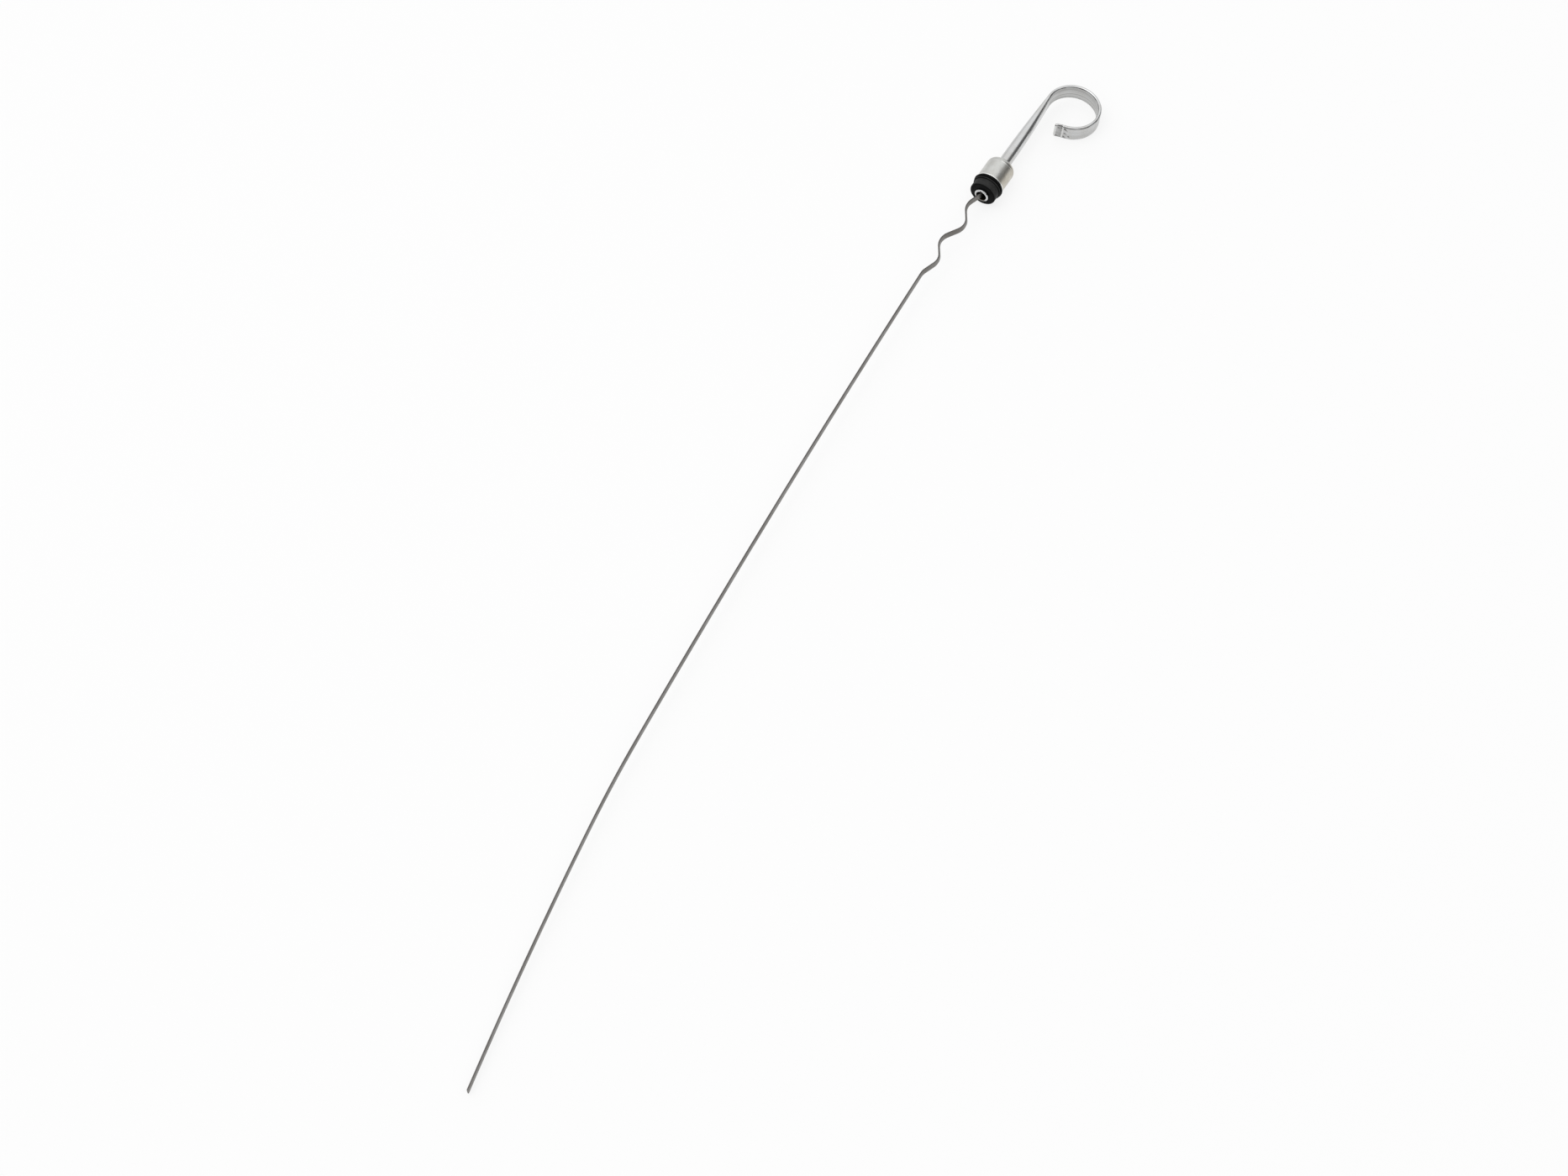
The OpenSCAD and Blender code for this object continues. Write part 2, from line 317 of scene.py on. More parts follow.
def press_work(stations, places, columns):
    """What the press did at each point of the rings: millimetres round the ring from the fold, below zero
    on the rounded edge; the share pressed flat; and the depth of marks, below zero where metal stands up."""
    t, wide = stations[:, 3:4], stations[:, 4:5]
    flat = np.maximum(flat_length(t) * wide, 0)
    share = np.arange(columns) / columns
    fold_reflection = np.abs((share + 0.25) % 0.5 - 0.25)
    fold = fold_reflection * (2 * flat + np.pi * t) - np.pi * t / 4
    pressed = np.clip((2 * TUBE_R - t) / (2 * TUBE_R - FLAT_T), 0, 1)
    across, up = stadium(share, flat, t / 2)
    s = places / TIP_LEN
    coined = np.interp(s, MARK_PLACE_SHARES, MARK_SHARES) - rib(s)
    dark = np.maximum(nicks(places, up), coined + BEATEN_MARK_SHARE * beaten(places, up))
    marks = (dark * (coined > STANDING_LIMIT) + np.minimum(coined, 0)) * (across < 0)
    return np.stack([fold, pressed + 0 * fold, marks], -1)


def round_stations(x, r):
    """Stations of a round tube from arrays of places along the axis and radii."""
    z = 0 * x
    return np.stack([x, z, z, 2 * r, z, z], -1)


def collar(x0, x1, r, share, steps=8):
    """Profile over a collar out to r between x0 and x1, its edges rounded by a share of half its height."""
    e = share * (x1 - x0) / 2
    a = np.linspace(0, np.pi / 2, steps + 1)
    x = np.concatenate([x0 + e * (1 - np.cos(a)), x1 - e * (1 - np.sin(a))])
    return x, np.concatenate([r - e * (1 - np.sin(a)), r - e * (1 - np.cos(a))])


def mouth_stations():
    """The round tube from its bore, over the quarter circle of the flare, the rolled rim and the bead."""
    rim_x, rim_r = collar(RIM_X0, RIM_X1, RIM_R, RIM_ROUND_SHARE)
    bead_x, bead_r = collar(CAP_TOP_X, BEAD_X1, BEAD_R, BEAD_ROUND_SHARE)
    a = np.linspace(np.pi / 2, 0, FLARE_STEPS)
    flare_x = RIM_X0 + MOUTH_FLARE * (1 - np.cos(a))
    flare_r = TUBE_R - TUBE_WALL + MOUTH_FLARE * (1 - np.sin(a))
    x = np.concatenate([flare_x, rim_x, [RIM_X1, CAP_TOP_X], bead_x, [BEAD_X1]])
    r = np.concatenate([flare_r, rim_r, [TUBE_R, TUBE_R], bead_r, [TUBE_R]])
    return round_stations(x, r)


def taper_stations():
    """The tube pressed from round to flat: its thickness falls as a cosine while its perimeter stays."""
    u = np.linspace(0, 1, TAPER_STEPS)
    t = FLAT_T + (2 * TUBE_R - FLAT_T) * np.cos(np.pi / 2 * u)
    return np.stack([TAPER_X + TAPER_LEN * u, 0 * u, 0 * u, t, 1 + 0 * u, 0 * u], -1)


def hook_stations():
    """The flat tube bent on one radius, and the places of its stations from the tip's start."""
    a = np.linspace(0, HOOK_SWEEP, HOOK_STEPS + 1)[1:]
    r = np.radians(a)
    x, y = HOOK_X + HOOK_R * np.sin(r), HOOK_R * (np.cos(r) - 1)
    stations = np.stack([x, y, -a, FLAT_T + 0 * a, 1 + 0 * a, 0 * a], -1)
    return stations, HOOK_R * np.radians(a - HOOK_SWEEP)


def tip_stations():
    """The straight coined tip: a plain start, a cross rib, a wide recess and an end band with rounded
    corners, its thickness from the table and its inner side in line with the hook's."""
    s = np.linspace(0, 1, TIP_STEPS + 1)[1:]
    thick = FLAT_T * (np.interp(s, TIP_PLACE_SHARES, TIP_DEPTH_SHARES) + RIB_HEIGHT_SHARE * rib(s))
    corner = np.clip((s - CORNER_START_SHARE) / CORNER_RUN_SHARE, 0, 1)
    wide = 1 - CORNER_DRAW_SHARE * corner ** CORNER_POWER
    e = math.radians(HOOK_SWEEP)
    x = HOOK_X + HOOK_R * math.sin(e) + TIP_LEN * s * math.cos(e)
    y = HOOK_R * (math.cos(e) - 1) - TIP_LEN * s * math.sin(e)
    stations = np.stack([x, y, -HOOK_SWEEP + 0 * s, thick, wide, (FLAT_T - thick) / 2], -1)
    return stations, TIP_LEN * s


def end_face(last):
    """Rings that close the tip: the last ring drawn in to its middle, over a small rounded edge."""
    mid = last.mean(0)
    e = math.radians(HOOK_SWEEP)
    outward = np.array([math.cos(e), -math.sin(e), 0])
    drawn_in = np.array([0.05, 0.1, 0.16, 0.5, 1 - POLE_SHARE])[:, None, None]
    rise = np.where(drawn_in < 0.2, np.sin(drawn_in * 7), 1)
    return mid + (last - mid) * (1 - drawn_in) + outward * END_ROUND * rise


def handle_tube():
    """Tube from the rolled rim to the coined tip, one skin outside and one inside. The bore and its flare
    have -1 as their share pressed flat, where no plating took."""
    mouth, taper = mouth_stations(), taper_stations()
    hook, hook_places = hook_stations()
    tip, tip_places = tip_stations()
    run = np.concatenate([taper, hook, tip])
    taper_places = np.full(TAPER_STEPS, -HOOK_R * math.pi)
    places = np.concatenate([taper_places, hook_places, tip_places])[:, None]
    outer = np.concatenate([rings(mouth, TUBE_COLUMNS), rings(run, TUBE_COLUMNS, places=places)])
    close = end_face(outer[-1])
    outer = np.concatenate([outer, close])
    mouth_work = np.zeros((len(mouth), TUBE_COLUMNS, 3))
    mouth_work[:, :, 0] = TUBE_R
    mouth_work[:BARE_ROWS, :, 1] = -1
    run_work = press_work(run, places, TUBE_COLUMNS)
    work = np.concatenate([mouth_work, run_work, np.repeat(run_work[-1:], len(close), axis=0)])
    v = np.linspace(0, 2.2, TUBE_COLUMNS + 1)
    skin = Skin()
    skin.grid(outer, arc_length(outer[:, 0])[:, None], v, work=work)
    bore_x = np.array([RIM_X0 + MOUTH_FLARE, CAP_RIM_X, CAP_TOP_X])
    bore = np.concatenate([round_stations(bore_x, np.full(3, TUBE_R)), taper])
    inner = rings(bore, TUBE_COLUMNS, TUBE_WALL)
    floor = inner[-1].mean(0)
    inner = np.concatenate([inner, (floor + (inner[-1] - floor) * POLE_SHARE)[None]])
    skin.grid(inner, arc_length(inner[:, 0])[:, None], v, flip=True, work=np.array([TUBE_R, -1.0, 0.0]))
    return skin.mesh("handle_tube")


def lathe(profile, columns=LATHE_COLUMNS):
    """A closed profile of places along the axis and radii, turned about the tube's axis."""
    x, r = profile[:, :1], profile[:, 1:]
    a = np.linspace(0, 2 * np.pi, columns + 1)[None, :-1]
    return np.stack([x + 0 * a, r * np.sin(a), r * np.cos(a)], -1)


def arc(cx, cr, radius, start, end, steps):
    """Points of a profile's arc about (cx, cr), by angles in degrees from the axis direction."""
    a = np.radians(np.linspace(start, end, steps))
    return np.stack([cx + radius * np.cos(a), cr + radius * np.sin(a)], -1)


def turned_piece(name, profile):
    """A lathe object from a closed profile that runs with the outside on its left."""
    profile = np.concatenate([profile, profile[:1]])
    p = lathe(profile)
    v = np.linspace(0, 2 * np.pi * profile[:, 1].max() / 10, p.shape[1] + 1)
    return Skin().grid(p, arc_length(profile)[:, None], v).mesh(name)


def cap_profile():
    """Drawn cup: rolled rim, straight skirt, rounded shoulder, a drawn-in hole, and the same back along
    the inside. The draw's ridge and groove are two bells on each side of the shoulder's start."""
    h = CAP_RIM_H / 2
    shoulder_x, shoulder_r = CAP_TOP_X - SHOULDER_R, CAP_R - SHOULDER_R
    skirt_x = np.linspace(CAP_RIM_X + SKIRT_START, shoulder_x, 60)[:-1]
    skirt = np.stack([skirt_x, np.full(len(skirt_x), CAP_R)], -1)
    outside = np.concatenate([skirt, arc(shoulder_x, shoulder_r, SHOULDER_R, 90, 0, 60)])
    ridge = DRAW_RIDGE * bell(outside[:, 0], shoulder_x - DRAW_OFFSET, DRAW_WIDTH)
    groove = DRAW_GROOVE * bell(outside[:, 0], shoulder_x + DRAW_OFFSET, DRAW_WIDTH)
    outside[:, 1] += ridge - groove
    return np.concatenate([
        [[CAP_RIM_X, CAP_R - CAP_WALL]],
        arc(CAP_RIM_X + h, CAP_R + CAP_RIM_ROLL - h, h, 180, 20, 12),
        arc(CAP_RIM_X + CAP_RIM_H + CAP_RIM_FILLET, CAP_R + CAP_RIM_FILLET, CAP_RIM_FILLET, 250, 270, 4),
        outside,
        [[CAP_TOP_X, BORE_R + HOLE_FACE]],
        arc(CAP_TOP_X - HOLE_ROUND, BORE_R + HOLE_ROUND, HOLE_ROUND, 0, -90, 5),
        [[CAP_TOP_X - CAP_WALL, BORE_R]],
        arc(shoulder_x, shoulder_r, SHOULDER_R - CAP_WALL, 0, 90, 16),
    ])


def seal_profile():
    """Moulded grommet: spigot, upper lip, groove, lower lip, plug with a rounded nose, and the bore."""
    low, high = LOWER_LIP_T / 2, UPPER_LIP_T / 2
    spigot_r, spigot_x = CAP_R - CAP_WALL - SPIGOT_GAP, FLANGE_T + SPIGOT_H
    return np.concatenate([
        [[-PLUG_LEN, BORE_R]],
        arc(-PLUG_LEN + PLUG_BEVEL, PLUG_R - PLUG_BEVEL, PLUG_BEVEL, 180, 90, 10),
        [[-PLUG_FILLET, PLUG_R], [0.0, PLUG_R + PLUG_FILLET]],
        arc(low, LOWER_LIP_R - low, low, 180, 40, 14),
        arc(FLANGE_T - high, UPPER_LIP_R - high, high, 165, 0, 24),
        [[FLANGE_T, spigot_r], [spigot_x, spigot_r], [spigot_x, BORE_R]],
    ])


def chain(start, pieces):
    """Points and headings along pieces of a length and a turn, each a straight or an arc with a step for
    each degree and each 8 mm."""
    out = [np.array([start])]
    state = np.array(start, float)
    for length, turn in pieces:
        n = max(6, int(abs(turn)) + 1, int(length / 8))
        k = np.arange(1, n + 1) / n
        a0, a = math.radians(state[2]), np.radians(state[2] + turn * k)
        if turn == 0:
            x, y = state[0] + length * k * math.cos(a0), state[1] + length * k * math.sin(a0)
        else:
            r = length / math.radians(turn)
            x, y = state[0] + r * (np.sin(a) - math.sin(a0)), state[1] - r * (np.cos(a) - math.cos(a0))
        out.append(np.stack([x, y, np.degrees(a)], -1))
        state = out[-1][-1]
    return np.concatenate(out)


def wave_bend(start, end):
    """Length and turn of a bend of the waves from one heading to another, off the tube's axis."""
    return WAVE_R * math.radians(abs(end - start)), end - start


def blade_line():
    """The strip's middle line from its grip in the flattened tube, through the waves, to its tip. The grip
    starts where the taper's bore is as thin as the strip."""
    gap = BLADE_T + 2 * (TUBE_WALL + GRIP_GAP)
    grip_share = math.acos((gap - FLAT_T) / (2 * TUBE_R - FLAT_T)) / (math.pi / 2)
    grip_x = TAPER_X + TAPER_LEN * grip_share
    a, e = WAVE_ANGLE, WAVE_END_ANGLE
    return chain([grip_x, 0.0, 180.0], [
        (grip_x - RIM_X0 - WAVE_INSET, 0),
        wave_bend(0, -e), (WAVE_END_FLANK, 0),
        wave_bend(-e, a), (WAVE_FLANK * FLANK_SHARES[0], 0),
        wave_bend(a, -a), (WAVE_FLANK * FLANK_SHARES[1], 0),
        wave_bend(-a, a), (WAVE_FLANK * FLANK_SHARES[2], 0),
        wave_bend(a, -e), (WAVE_END_FLANK, 0),
        wave_bend(-e, LEAN), LONG, BEND, LOW])


def blade_turn(x, heading):
    """How far the strip's section is turned about its middle line: it grows evenly to the twist over a run
    inside the tube, and to twice that on the flanks of the waves that lean as the strip does."""
    twist = np.interp(x, [RIM_X0, RIM_X0 + TWIST_RUN], [BLADE_TWIST, 0])
    leaning = np.clip((heading - 180 - LEAN) / (WAVE_ANGLE - LEAN), 0, 1) * (x > WAVES_X)
    return np.radians(twist * (1 + leaning))


def blade_strip():
    """Flat strip with rolled edges: a rectangle with small rounded corners carried along the middle line,
    turned about it, and drawn in to a point at the middle of each end."""
    line = blade_line()
    x, y, heading = line[:, :1], line[:, 1:2], line[:, 2:3]
    e = BLADE_EDGE
    a = np.linspace(0, np.pi / 2, 4)
    w, t = BLADE_W / 2 - e, BLADE_T / 2 - e
    side = np.concatenate([t + e * np.sin(a), t + e * np.cos(a), -t - e * np.sin(a), -t - e * np.cos(a)])
    up = np.concatenate([w + e * np.cos(a), -w - e * np.sin(a), -w - e * np.cos(a), w + e * np.sin(a)])
    turn = blade_turn(x, heading)
    off = side * np.cos(turn) - up * np.sin(turn)
    rise = side * np.sin(turn) + up * np.cos(turn)
    h = np.radians(heading)
    p = np.stack([x - off * np.sin(h), y + off * np.cos(h), rise], -1)
    first, last = p[0].mean(0), p[-1].mean(0)
    start, end = first + (p[0] - first) * POLE_SHARE, last + (p[-1] - last) * POLE_SHARE
    p = np.concatenate([start[None], p, end[None]])
    v = np.concatenate([[0], np.cumsum(np.hypot(np.diff(side), np.diff(up)))]) / 10
    v = np.append(v, v[-1] + 2 * t / 10)
    return Skin().grid(p, arc_length(p[:, 0])[:, None], v, flip=True).mesh("blade_strip", 50)


# Material helpers
def new_group(name, inputs, outputs):
    """An empty shader node group with named sockets: (name, kind, default)."""
    g = bpy.data.node_groups.new(name, "ShaderNodeTree")
    for label, kind, default in inputs:
        s = g.interface.new_socket(label, in_out="INPUT", socket_type=kind)
        if default is not None:
            s.default_value = default
    for label, kind in outputs:
        g.interface.new_socket(label, in_out="OUTPUT", socket_type=kind)
    return g, g.nodes.new("NodeGroupInput"), g.nodes.new("NodeGroupOutput")


def node(tree, kind, links=None, **values):
    """A node with its properties and socket values set and its inputs linked."""
    n = tree.nodes.new(kind)
    for key, value in values.items():
        if hasattr(n, key) and key not in n.inputs:
            setattr(n, key, value)
        else:
            n.inputs[key].default_value = value
    for key, source in (links or {}).items():
        tree.links.new(source, n.inputs[key])
    return n


def maths(tree, op, a, b=None, clamp=False):
    """A Math node on sockets or numbers."""
    n = tree.nodes.new("ShaderNodeMath")
    n.operation, n.use_clamp = op, clamp
    for k, value in enumerate((a, b)):
        if value is None:
            continue
        if isinstance(value, (int, float)):
            n.inputs[k].default_value = value
        else:
            tree.links.new(value, n.inputs[k])
    return n.outputs[0]


def times(tree, a, b):
    """One value times another."""
    return maths(tree, "MULTIPLY", a, b)


def plus(tree, a, b):
    """One value added to another."""
    return maths(tree, "ADD", a, b)


def ranged(tree, value, low, high, out_low=0.0, out_high=1.0, smooth=True):
    """A value mapped from one range to another, clamped."""
    n = tree.nodes.new("ShaderNodeMapRange")
    n.interpolation_type = "SMOOTHSTEP" if smooth else "LINEAR"
    for key, v in (("From Min", low), ("From Max", high), ("To Min", out_low), ("To Max", out_high)):
        n.inputs[key].default_value = v
    tree.links.new(value, n.inputs["Value"])
    return n.outputs["Result"]


def near(tree, value, middle, full, gone, high=1.0, low=0.0):
    """High where a value lies within full of a middle, falling to low where it is gone away from it."""
    away = maths(tree, "ABSOLUTE", maths(tree, "SUBTRACT", value, middle))
    return ranged(tree, away, full, gone, high, low)


def between(tree, value, low, high, edge):
    """1 where a value lies between low and high, falling to 0 over an edge on both sides."""
    return times(tree, ranged(tree, value, low - edge, low), ranged(tree, value, high, high + edge, 1.0, 0.0))


def mixed(tree, factor, a, b):
    """A colour mix of sockets or colours."""
    n = tree.nodes.new("ShaderNodeMix")
    n.data_type, n.blend_type, n.clamp_result = "RGBA", "MIX", True
    for key, value in (("Factor", factor), ("A", a), ("B", b)):
        kind = "VALUE" if key == "Factor" else "RGBA"
        socket = next(s for s in n.inputs if s.name == key and s.type == kind)
        if isinstance(value, (int, float)):
            socket.default_value = value
        elif isinstance(value, tuple):
            socket.default_value = value + (1.0,)
        else:
            tree.links.new(value, socket)
    return next(s for s in n.outputs if s.type == "RGBA")


def drawing_marks():
    """Fine scratches along the run of a drawn or rolled piece: noise stretched many times along U."""
    g, gin, gout = new_group("drawing_marks", [("Vector", "NodeSocketVector", None),
        ("Along", "NodeSocketFloat", 0.4), ("Across", "NodeSocketFloat", 30.0)],
        [("Mask", "NodeSocketFloat"), ("Coarse", "NodeSocketFloat")])
    sep = node(g, "ShaderNodeSeparateXYZ", {"Vector": gin.outputs["Vector"]})
    u = times(g, sep.outputs["X"], gin.outputs["Along"])
    v = times(g, sep.outputs["Y"], gin.outputs["Across"])
    at = {"Vector": node(g, "ShaderNodeCombineXYZ", {"X": u, "Y": v}).outputs[0]}
    fine = node(g, "ShaderNodeTexNoise", at, Scale=3.0, Detail=5.0, Roughness=0.65)
    coarse = node(g, "ShaderNodeTexNoise", at, Scale=0.6, Detail=2.0, Roughness=0.5)
    g.links.new(ranged(g, fine.outputs[0], 0.3, 0.7), gout.inputs["Mask"])
    g.links.new(ranged(g, coarse.outputs[0], 0.35, 0.65), gout.inputs["Coarse"])
    return g


def handling_marks():
    """Blotches of handling and plating: soft cloud patches and sparse small specks on Object coordinates."""
    g, gin, gout = new_group("handling_marks", [("Vector", "NodeSocketVector", None),
        ("Patch Scale", "NodeSocketFloat", 120.0), ("Speck Scale", "NodeSocketFloat", 900.0)],
        [("Patch", "NodeSocketFloat"), ("Speck", "NodeSocketFloat")])
    at = gin.outputs
    patch = node(g, "ShaderNodeTexNoise", {"Vector": at["Vector"], "Scale": at["Patch Scale"]},
        Detail=4.0, Roughness=0.55)
    speck = node(g, "ShaderNodeTexNoise", {"Vector": at["Vector"], "Scale": at["Speck Scale"]},
        Detail=3.0, Roughness=0.7)
    g.links.new(ranged(g, patch.outputs[0], 0.35, 0.65), gout.inputs["Patch"])
    g.links.new(ranged(g, speck.outputs[0], 0.58, 0.72), gout.inputs["Speck"])
    return g


MARKS, HANDLING = drawing_marks(), handling_marks()


class Finish:
    """A material with a Principled shader, its constants set, and the shared effects placed in it: fine
    and coarse drawing marks, patches and specks of handling, and the UV's centimetres along and round."""

    def __init__(self, name, marks=None, handling=None, **constants):
        self.material = bpy.data.materials.new(name)
        self.material.use_nodes = True
        self.tree = self.material.node_tree
        self.shader = next(n for n in self.tree.nodes if n.type == "BSDF_PRINCIPLED")
        for key, value in constants.items():
            self.shader.inputs[key.replace("_", " ")].default_value = value
        uv = node(self.tree, "ShaderNodeUVMap", uv_map="run").outputs[0]
        where = node(self.tree, "ShaderNodeTexCoord").outputs["Object"]
        drawn = self.effect(MARKS, uv, marks)
        handled = self.effect(HANDLING, where, handling)
        self.fine, self.coarse = drawn["Mask"], drawn["Coarse"]
        self.patch, self.speck = handled["Patch"], handled["Speck"]
        run = node(self.tree, "ShaderNodeSeparateXYZ", {"Vector": uv}).outputs
        self.along, self.round = run["X"], run["Y"]

    def effect(self, group, vector, values):
        """The outputs of a shared effect placed with its own values."""
        placed = node(self.tree, "ShaderNodeGroup", {}, node_tree=group)
        self.tree.links.new(vector, placed.inputs["Vector"])
        for key, value in (values or {}).items():
            placed.inputs[key].default_value = value
        return placed.outputs

    def done(self, base, rough, relief, strength, distance):
        """The material with its colour, its roughness and a bump from a height."""
        links = self.tree.links
        links.new(base, self.shader.inputs["Base Color"])
        links.new(rough, self.shader.inputs["Roughness"])
        bump = node(self.tree, "ShaderNodeBump", {"Height": relief}, Strength=strength, Distance=distance)
        links.new(bump.outputs[0], self.shader.inputs["Normal"])
        return self.material


def bright_zinc():
    """Bright zinc on a drawn tube: clear reflections and fine lengthwise marks. The press left the hook's
    flats duller, and painted shade makes the inner flats darker still; a broken dark line along their folds
    is a painted reflection of the dark horizon on the rounded edge; the tip's marks are dark; painted shade
    darkens the underside of the rolled rim; and the bore is bare and oily."""
    f = Finish("bright_zinc", {"Along": 0.25, "Across": 22.0}, Metallic=1.0)
    t = f.tree
    clear, hazy = (0.64, 0.646, 0.65), (0.60, 0.597, 0.588)
    scratched, specked, dulled_and_shaded = (0.50, 0.50, 0.50), (0.40, 0.39, 0.37), (0.355, 0.355, 0.345)
    rubbed, fold_reflection, struck = (0.74, 0.74, 0.73), (0.07, 0.07, 0.075), (0.045, 0.043, 0.04)
    rim_underside_shade, oily = (0.10, 0.09, 0.08), (0.022, 0.016, 0.010)
    work = node(t, "ShaderNodeAttribute", attribute_name="work").outputs["Vector"]
    work = node(t, "ShaderNodeSeparateXYZ", {"Vector": work}).outputs
    fold, pressed, coined = work["X"], work["Y"], work["Z"]
    base = mixed(t, f.patch, clear, hazy)
    base = mixed(t, times(t, f.fine, 0.18), base, scratched)
    base = mixed(t, times(t, f.speck, 0.25), base, specked)
    # Flats left duller by the press; the inner flats get more of it as painted shade, for the shadowed floor
    # they reflect inside the loop.
    flat = times(t, ranged(t, fold, -0.2, 0.4), ranged(t, pressed, 0.75, 0.98))
    flat = times(t, flat, ranged(t, f.round, 1.08, 1.12, 0.95, 0.42))
    base = mixed(t, times(t, flat, ranged(t, f.coarse, 0, 1, 0.30, 1.0)), base, dulled_and_shaded)
    base = mixed(t, maths(t, "MULTIPLY", coined, -1.0, True), base, rubbed)
    # Painted reflection: a broken dark line on the rounded edge beside each fold, for the dark horizon that
    # edge reflects.
    line = times(t, near(t, fold, -0.36, 0.14, 0.46), ranged(t, pressed, 0.35, 0.85))
    line = times(t, line, ranged(t, f.patch, 0.15, 0.85, 0.42, 0.95))
    base = mixed(t, line, base, fold_reflection)
    pits = ranged(t, coined, 0.12, 0.95, smooth=False)
    base = mixed(t, times(t, pits, ranged(t, f.patch, 0, 1, 0.62, 1.0)), base, struck)
    # Painted shade on the underside of the rolled rim.
    rim = between(t, f.along, 0.02, 0.22, 0.03)
    base = mixed(t, times(t, rim, near(t, f.round, 1.13, 0.26, 0.44, 0.85)), base, rim_underside_shade)
    bare = ranged(t, pressed, -0.7, -0.2, 1.0, 0.0)
    base = mixed(t, bare, base, oily)
    rough = plus(t, ranged(t, f.fine, 0, 1, 0.17, 0.25), times(t, f.patch, 0.05))
    rough = plus(t, rough, times(t, flat, 0.12))
    rough = plus(t, rough, times(t, bare, 0.35))
    return f.done(base, rough, f.fine, 0.08, 0.03 * MM)


def drawn_zinc():
    """Zinc on the drawn cap: duller, with draw marks along its skirt, a warm passivated tint on one side, a
    rolled rim rubbed bright by handling, and on that side a painted highlight along the ridge over painted
    shade in the groove beyond it."""
    f = Finish("drawn_zinc", {"Along": 0.8, "Across": 14.0}, {"Patch Scale": 150.0}, Metallic=1.0)
    t = f.tree
    clear, hazy = (0.63, 0.636, 0.617), (0.565, 0.562, 0.536)
    warm, brown = (0.67, 0.645, 0.58), (0.565, 0.53, 0.455)
    scratched, specked = (0.45, 0.44, 0.42), (0.33, 0.31, 0.28)
    polished_rim_and_ridge_highlight, shaded = (0.84, 0.84, 0.82), (0.07, 0.068, 0.065)
    base = mixed(t, f.patch, clear, hazy)
    base = mixed(t, near(t, f.round, 4.75, 0.3, 0.9), base, mixed(t, f.patch, warm, brown))
    base = mixed(t, times(t, f.fine, 0.22), base, scratched)
    base = mixed(t, times(t, f.speck, 0.35), base, specked)
    rim = between(t, f.along, 0.09, 0.17, 0.03)
    # Painted highlight along the ridge, kept to the side where it shows; the rim is rubbed bright by
    # handling.
    ridge = times(t, between(t, f.along, 1.475, 1.51, 0.025), near(t, f.round, 5.55, 0.25, 0.70, 0.8))
    base = mixed(t, maths(t, "MAXIMUM", rim, ridge), base, polished_rim_and_ridge_highlight)
    # Painted shade in the groove beyond the ridge, on the same side.
    groove_shade = times(t, between(t, f.along, 1.56, 1.585, 0.022), near(t, f.round, 5.35, 0.15, 0.55, 0.75, 0.15))
    base = mixed(t, groove_shade, base, shaded)
    rough = plus(t, ranged(t, f.fine, 0, 1, 0.27, 0.38), times(t, f.patch, 0.07))
    rough = maths(t, "SUBTRACT", rough, times(t, rim, 0.12))
    return f.done(base, rough, f.fine, 0.15, 0.04 * MM)


def moulded_rubber():
    """Black rubber: deepest black on the lips and the nose, a painted sheen on the plug's side and a painted
    highlight on the lower lip's crest, and a fine moulded grain."""
    f = Finish("moulded_rubber", None, {"Patch Scale": 220.0, "Speck Scale": 1600.0}, Metallic=0.0,
        Specular_IOR_Level=0.06)
    t = f.tree
    deep_black, worn = (0.0022, 0.0022, 0.0025), (0.0065, 0.0065, 0.0065)
    painted_sheen, brighter_painted_sheen = (0.021, 0.021, 0.0215), (0.034, 0.034, 0.0335)
    grit = (0.12, 0.12, 0.115)
    base = mixed(t, times(t, f.patch, 0.30), deep_black, worn)
    # Painted sheen on the plug's side and painted highlight on the lower lip's crest, over the deep black of
    # the nose and lips.
    plug_side_sheen, lip_crest_highlight = between(t, f.along, 0.50, 0.93, 0.07), between(t, f.along, 1.05, 1.09, 0.03)
    base = mixed(t, maths(t, "MAXIMUM", plug_side_sheen, lip_crest_highlight), base, mixed(t, f.patch, painted_sheen, brighter_painted_sheen))
    base = mixed(t, times(t, f.speck, 0.04), base, grit)
    return f.done(base, ranged(t, f.patch, 0, 1, 0.42, 0.60), f.speck, 0.25, 0.03 * MM)


def spring_steel():
    """Rolled spring steel: satin sides with fine grain along the strip and faint oil-brown patches, and
    darker sheared edges."""
    f = Finish("spring_steel", {"Along": 0.3, "Across": 26.0}, {"Patch Scale": 60.0}, Metallic=1.0)
    t = f.tree
    satin, oiled = (0.268, 0.258, 0.248), (0.202, 0.192, 0.178)
    grained, specked, sheared = (0.13, 0.12, 0.11), (0.08, 0.07, 0.06), (0.095, 0.09, 0.087)
    base = mixed(t, f.patch, satin, oiled)
    base = mixed(t, times(t, f.fine, 0.35), base, grained)
    base = mixed(t, times(t, f.speck, 0.3), base, specked)
    lower_edge, upper_edge = between(t, f.round, 0.41, 0.48, 0.01), ranged(t, f.round, 0.87, 0.89)
    base = mixed(t, maths(t, "MAXIMUM", lower_edge, upper_edge), base, sheared)
    return f.done(base, ranged(t, f.fine, 0, 1, 0.34, 0.50), f.fine, 0.2, 0.04 * MM)


# Each piece, the CAD node that it replaces, its slot and its material
PIECES = (
    (handle_tube(), "handle", "zinc", bright_zinc()),
    (turned_piece("cap_shell", cap_profile()), "cap", "zinc", drawn_zinc()),
    (turned_piece("seal_grommet", seal_profile()), "seal", "rubber", moulded_rubber()),
    (blade_strip(), "blade", "spring_steel", spring_steel()),
)
for piece, cad_node, slot, material in PIECES:
    piece.data.materials.append(material)
    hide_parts(cad_node)
    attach(piece, "root")

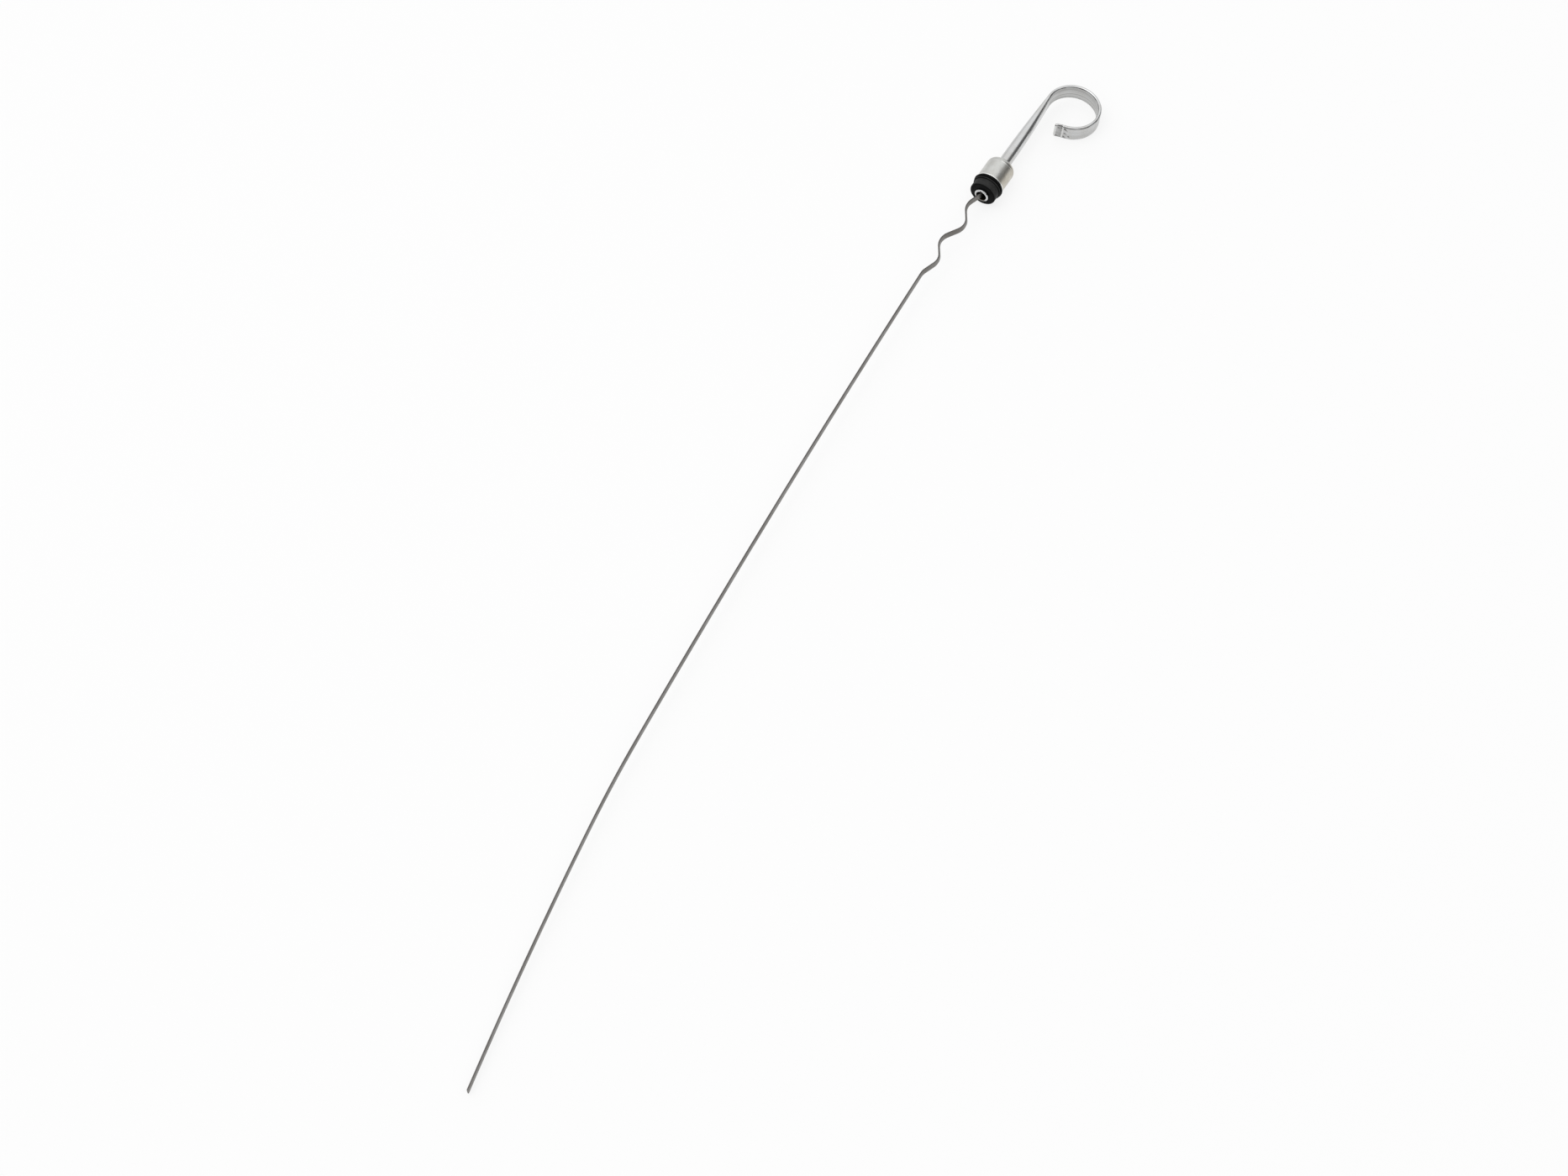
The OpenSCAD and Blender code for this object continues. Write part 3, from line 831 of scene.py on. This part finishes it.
# Studio: table, lamp, and directions of the surroundings as azimuth and elevation in degrees
TABLE_Z = -UPPER_LIP_R * MM
TABLE_HALF = 14.0
TABLE_WHITE_SHARE = 0.82
ROOM, STAND, SKYLIGHT = (-147, 0), (-51, 15), (170, 74)
LAMP_PLACE, LAMP_SIZE, LAMP_WATTS = (-0.35, 0.45, 1.5), 1.0, 3.0

# Camera: the table point under the picture's middle, where the camera stands from it, and its lens
CAMERA_AIM = Vector((-0.31487, -0.03738, -0.0098))
CAMERA_AZIMUTH, CAMERA_ELEVATION, CAMERA_DISTANCE, CAMERA_TILT = -146.8905, 55.2544, 2.0301, -3.6143
PICTURE_WIDTH_PX, FOCAL_PX, SENSOR = 1866.0, 4200.0, 36.0


def studio_table():
    """Plain white table: white to the camera and in reflections, with the object's soft shadow on it."""
    mesh = bpy.data.meshes.new("studio_floor")
    s, z = TABLE_HALF, TABLE_Z
    mesh.from_pydata([(-s, -s, z), (s, -s, z), (s, s, z), (-s, s, z)], [], [(0, 1, 2, 3)])
    table = bpy.data.objects.new("studio_floor", mesh)
    bpy.context.scene.collection.objects.link(table)
    m = bpy.data.materials.new("table_white")
    m.use_nodes = True
    t = m.node_tree
    t.nodes.clear()
    out = node(t, "ShaderNodeOutputMaterial")
    matt = node(t, "ShaderNodeBsdfDiffuse", Color=(0.86, 0.86, 0.86, 1))
    glow = node(t, "ShaderNodeEmission", Color=(1, 1, 1, 1), Strength=1.0)
    path = node(t, "ShaderNodeLightPath")
    seen = maths(t, "ADD", path.outputs["Is Camera Ray"], path.outputs["Is Glossy Ray"], True)
    seen = maths(t, "ADD", seen, path.outputs["Is Transmission Ray"], True)
    white = times(t, seen, TABLE_WHITE_SHARE)
    mix = node(t, "ShaderNodeMixShader", {0: white, 1: matt.outputs[0], 2: glow.outputs[0]})
    t.links.new(mix.outputs[0], out.inputs["Surface"])
    mesh.materials.append(m)


def direction(azimuth, elevation):
    """Unit vector of an azimuth and an elevation in degrees."""
    a, e = math.radians(azimuth), math.radians(elevation)
    return (math.cos(e) * math.cos(a), math.cos(e) * math.sin(a), math.sin(e))


def studio_world():
    """Soft light from above that fades a little towards the horizon, with a dark room low behind the camera
    and a dark stand to the right of it, which the metal shows as its dark streaks."""
    w = bpy.data.worlds.new("studio")
    bpy.context.scene.world = w
    w.use_nodes = True
    t = w.node_tree
    t.nodes.clear()
    out = node(t, "ShaderNodeOutputWorld")
    back = node(t, "ShaderNodeBackground", Color=(1, 1, 1, 1))
    where = node(t, "ShaderNodeTexCoord").outputs["Generated"]
    toward = node(t, "ShaderNodeVectorMath", {0: where}, operation="NORMALIZE").outputs["Vector"]
    rise = node(t, "ShaderNodeSeparateXYZ", {"Vector": toward}).outputs["Z"]
    facing = []
    for place in (ROOM, STAND, SKYLIGHT):
        dot = node(t, "ShaderNodeVectorMath", {0: toward}, operation="DOT_PRODUCT")
        dot.inputs[1].default_value = direction(*place)
        facing.append(dot.outputs["Value"])
    room, stand, skylight = facing
    sky = plus(t, ranged(t, rise, 0.0, 0.85, 0.76, 1.08), ranged(t, skylight, 0.86, 0.96, 0.0, 0.35))
    low_room = times(t, ranged(t, room, -0.35, 0.15), ranged(t, rise, 0.26, 0.46, 1.0, 0.0))
    dark_room, dark_stand = times(t, low_room, 0.95), times(t, ranged(t, stand, 0.77, 0.95), 0.85)
    blocked = maths(t, "MAXIMUM", dark_room, dark_stand)
    t.links.new(times(t, sky, maths(t, "SUBTRACT", 1.0, blocked)), back.inputs["Strength"])
    t.links.new(back.outputs[0], out.inputs["Surface"])


def key_lamp():
    """A large square soft lamp over the table, turned to the origin."""
    data = bpy.data.lights.new("key_lamp", "AREA")
    data.shape, data.size, data.energy = "SQUARE", LAMP_SIZE, LAMP_WATTS
    lamp = bpy.data.objects.new("key_lamp", data)
    lamp.location = LAMP_PLACE
    lamp.rotation_euler = (-Vector(LAMP_PLACE)).to_track_quat("-Z", "Y").to_euler()
    bpy.context.scene.collection.objects.link(lamp)


def studio_camera():
    """Camera at its distance and direction from the aim, looking back at it, its frame tilted a little."""
    azimuth, tilt = math.radians(CAMERA_AZIMUTH), math.radians(CAMERA_TILT)
    back = Vector(direction(CAMERA_AZIMUTH, CAMERA_ELEVATION))
    right = Vector((-math.sin(azimuth), math.cos(azimuth), 0.0))
    up = back.cross(right)
    turned_right = right * math.cos(tilt) + up * math.sin(tilt)
    turned_up = up * math.cos(tilt) - right * math.sin(tilt)
    data = bpy.data.cameras.new("camera")
    data.sensor_width, data.lens = SENSOR, FOCAL_PX / PICTURE_WIDTH_PX * SENSOR
    data.clip_start, data.clip_end = 0.05, 60.0
    cam = bpy.data.objects.new("camera", data)
    m = Matrix.Identity(4)
    for k, axis in enumerate((turned_right, turned_up, back)):
        m.col[k][:3] = axis
    m.col[3][:3] = CAMERA_AIM + back * CAMERA_DISTANCE
    cam.matrix_world = m
    bpy.context.scene.collection.objects.link(cam)
    bpy.context.scene.camera = cam


studio_table()
studio_world()
key_lamp()
studio_camera()
bpy.context.scene.view_settings.view_transform = "Standard"
